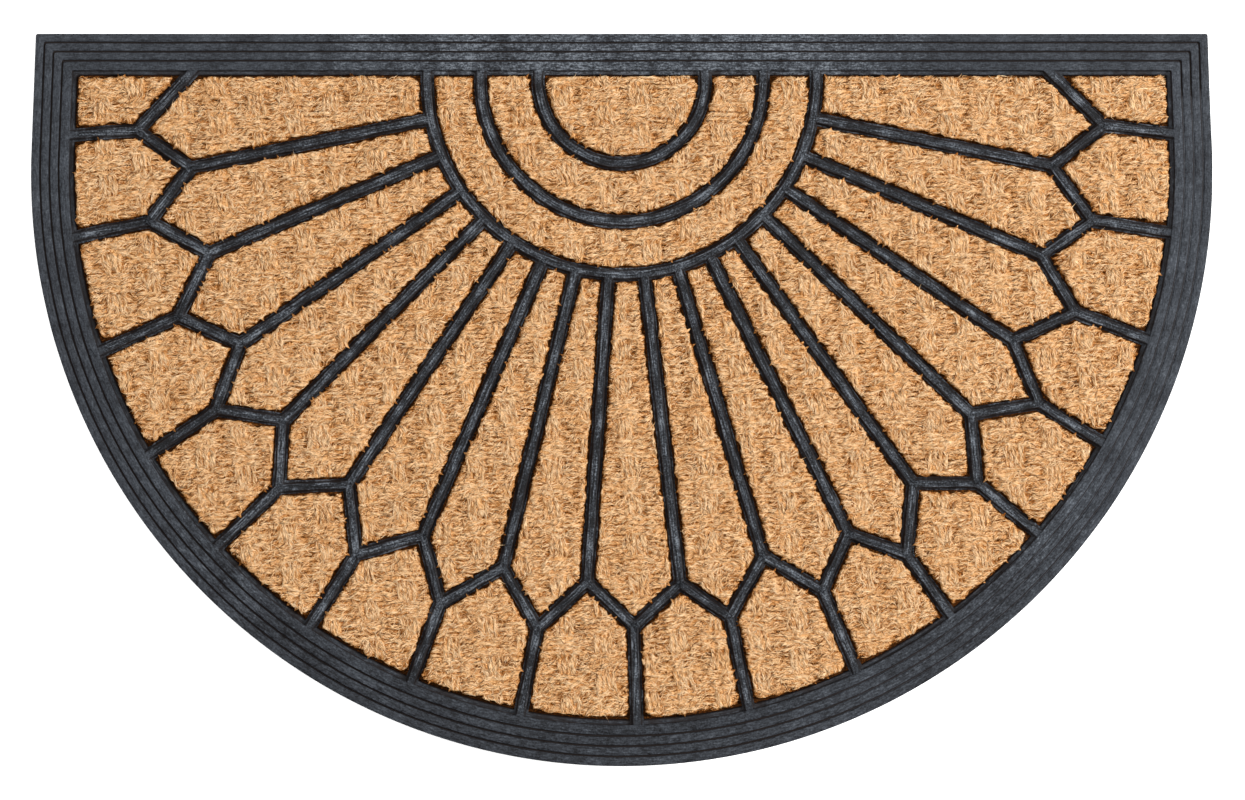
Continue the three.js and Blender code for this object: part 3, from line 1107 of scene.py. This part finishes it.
def fibres(name, rings, spots, heading, length, bend, stray, bound, radius, lift, tone, rng):
    count, stations = len(spots), STATIONS[rings]
    path, v = fibre_paths(spots, heading, length, bend, stray, bound, stations)
    line = np.concatenate([path, fibre_heights(path, stations, lift, radius)[..., None]], axis=2)
    roll = rng.uniform(0, 2 * math.pi, count)
    ring = []
    for k in range(SIDES):
        turn = roll + 2 * math.pi * k / SIDES
        ring.append(np.column_stack([v * np.cos(turn)[:, None], np.sin(turn)]) * radius[:, None])
    ring = np.stack(ring, axis=1)
    bodies = [line[:, k : k + 1] + ring for k in range(1, rings + 1)]
    points = np.concatenate([line[:, :1], *bodies, line[:, -1:]], axis=1)
    first = (np.arange(count) * points.shape[1])[:, None, None]
    pattern = spindle_faces(rings)
    faces = [(first + block[:, :, 0].astype(int)).reshape(-1, block.shape[1]) for block in pattern]
    obj = mesh_object(name, points.reshape(-1, 3), faces, coir_fibre)
    darker = np.zeros(points.shape[1])
    darker[[0, -1]] = TIP_SHADE
    point_values(obj, "tone", (tone[:, None] - darker).ravel())
    chart = obj.data.uv_layers.new(name="OFBake")
    chart.uv.foreach_set("vector", spindle_map(count, pattern).astype(np.float32).ravel())
    return obj


# %% Where fibres grow: over the coir, thickest in its tufts
THICK_SHARE, TUFT_SHARE, THIN_SHARE = 0.62, 0.62, 0.03
FIELD_MARGIN = 0.2


def coir_spots(count, rng):
    low, high = np.array([a[0] for a in AXES]), np.array([a[-1] for a in AXES])
    found = []
    while sum(map(len, found)) < count:
        tries = rng.uniform(low, high, (count, 2))
        thick = rng.random(count) < np.clip(THICK_SHARE + TUFT_SHARE * tuft(tries), THIN_SHARE, 1)
        found.append(tries[thick & (sampled(DEPTHS, tries) > FIELD_MARGIN)])
    return np.concatenate(found)[:count]


# %% The kinds of fibre
FIBRE_KINDS = (
    # name, count, rings, lengths, slant, spread of heading, bend, lift,
    # share held in its yarn, radii, tone, darker for the lower kinds as painted shade
    ("coir_fibres_low", 31000, 1, (5, 11), 0.28, 0.20, 0.10, 0.2, 0.6, (0.20, 0.32), 0.62),
    ("coir_fibres_middle", 31000, 1, (4, 10), 0.26, 0.26, 0.12, 0.35, 0.4, (0.20, 0.32), 0.68),
    ("coir_fibres_upper", 31000, 1, (4, 9), 0.22, 0.36, 0.14, 0.5, 0.25, (0.18, 0.30), 0.73),
    ("coir_fibres_loose", 9500, 2, (5, 12), 0.10, 0.85, 0.32, 0.8, 0.0, (0.12, 0.20), 0.73),
)
FIRST_FIBRE_SEED = 51
WEFT_HEADING = math.atan2(COLUMN[1], COLUMN[0])
WARP_HEADING = math.atan2(ROW[1], ROW[0])
FLOW = (0.55, 8, 61)
LONG_STRAY_SHARE, LONG_STRAY, EDGE_STRAY = 0.014, (1, 4), (-0.25, 0.70)
DARK_SHARE, DARK_TONES, TONE_SPREAD = 0.11, (-0.15, 0.15), 0.11
TONE_RIPPLE, TONE_WAVES = 0.15, (2.6, 63)
HEIGHT_SHADE, MIDDLE_HEIGHT = 0.16, 0.6
WARP_TONE, MIDDLE_WARP = 0.08, 0.3


def grow(name, count, rings, lengths, slant, spread, bend, lift, held, radii, shade, seed):
    rng = np.random.default_rng(seed)
    spots = coir_spots(count, rng)
    height, warp, _ = weave_at(spots)
    along = np.where(warp, WARP_HEADING, WEFT_HEADING)
    heading = along + slant + uneven(spots, *FLOW) + rng.normal(0, spread, count)
    length = rng.uniform(*lengths, count)
    far = rng.random(count) < LONG_STRAY_SHARE
    stray = np.where(far, rng.uniform(*LONG_STRAY, count), rng.uniform(*EDGE_STRAY, count))
    dark = rng.random(count) < DARK_SHARE
    tone = np.where(dark, rng.uniform(*DARK_TONES, count), rng.normal(shade, TONE_SPREAD, count))
    tone = tone + TONE_RIPPLE * drawn_ripple(spots, warp, *TONE_WAVES)
    # painted shade: fibres lying lower in the weave get a darker tone
    tone = tone + HEIGHT_SHADE * (height - MIDDLE_HEIGHT) + WARP_TONE * (warp - MIDDLE_WARP)
    tone = np.clip(tone, 0, 1)
    curl = rng.normal(0, bend, count)
    bound = rng.random(count) < held
    radius = rng.uniform(*radii, count)
    bow = lift * rng.random(count)
    return fibres(name, rings, spots, heading, length, curl, stray, bound, radius, bow, tone, rng)


fibre_pieces = [grow(*kind, seed=FIRST_FIBRE_SEED + k) for k, kind in enumerate(FIBRE_KINDS)]
for piece in fibre_pieces:
    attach(piece, "root")
print("fibres:", sum(kind[1] for kind in FIBRE_KINDS), "triangles:", sum(map(triangles_of, fibre_pieces)))

# %% [markdown]
# ## The cut of the soft piece
# The coir is a cut piece of woven cloth, so the size of its cut is worked out here: a half moon just
# inside the border, laid flat. A cloth simulation could settle it, but the rubber holds it flat all
# over, so there is nothing to settle.


def cut_area():
    ring = outline(BORDER + LEDGE)
    x, y = ring[:, 0], ring[:, 1]
    return abs(float(np.sum(x * np.roll(y, -1) - np.roll(x, -1) * y))) / 2 * MM * MM


CUT = ((WIDTH - 2 * (BORDER + LEDGE)) * MM, (DEPTH - 2 * (BORDER + LEDGE)) * MM)
cut_area()
print("cut:", CUT, "area:", round(cut_area(), 4))

# %% [markdown]
# ## Floor, light and camera
# The mat is seen straight from above on a pale floor. A broad soft light overhead keeps the colours
# plain, and a smaller one from the right gives the ribs and fibres their shade. The floor glows a
# little, so that it stays white.

# %% Floor
FLOOR_SIZE = 8.0


def make_floor():
    bpy.ops.mesh.primitive_plane_add(size=FLOOR_SIZE)
    floor = bpy.context.object
    floor.name = "pale_floor"
    material, _, shader = new_material("pale floor")
    shader.inputs["Base Color"].default_value = (0.9, 0.9, 0.9, 1)
    shader.inputs["Roughness"].default_value = 0.9
    shader.inputs["Emission Color"].default_value = (1, 1, 1, 1)
    shader.inputs["Emission Strength"].default_value = 0.7
    floor.data.materials.append(material)


make_floor()
print("floor:", FLOOR_SIZE, "m square")

# %% Lights
WORLD_GLOW = 0.18


def area_light(name, place, size, power):
    light = bpy.data.lights.new(name, "AREA")
    light.shape, light.size, light.energy = "SQUARE", size, power
    obj = bpy.data.objects.new(name, light)
    obj.location = place
    aim = -obj.location
    obj.rotation_euler = aim.to_track_quat("-Z", "Y").to_euler()
    bpy.context.scene.collection.objects.link(obj)


def light_the_room():
    world = bpy.data.worlds.new("studio")
    bpy.context.scene.world = world
    world.use_nodes = True
    background = world.node_tree.nodes["Background"]
    background.inputs["Color"].default_value = (1, 1, 1, 1)
    background.inputs["Strength"].default_value = WORLD_GLOW
    bpy.context.scene.view_settings.view_transform = "Standard"


area_light("overhead", place=(0.0, 0.5, 3.4), size=2.0, power=88)
area_light("key", place=(3.1, 0.2, 2.6), size=0.8, power=170)
light_the_room()
print("lights:", [light.name for light in bpy.data.lights])

# %% Camera
PHOTO_PIXELS = (1245, 800)
PIXEL = 0.634
MIDDLE = (0.5, 0.0)
LENS, SENSOR = 110.0, 36.0


def make_camera():
    data = bpy.data.cameras.new("camera")
    data.lens, data.sensor_width, data.sensor_fit = LENS, SENSOR, "HORIZONTAL"
    camera = bpy.data.objects.new("camera", data)
    distance = PHOTO_PIXELS[0] * PIXEL * LENS / SENSOR
    camera.location = (MIDDLE[0] * MM, MIDDLE[1] * MM, (distance + BAR_TOP) * MM)
    bpy.context.scene.collection.objects.link(camera)
    bpy.context.scene.camera = camera
    return camera


print("camera at, metres:", [round(place, 3) for place in make_camera().location])
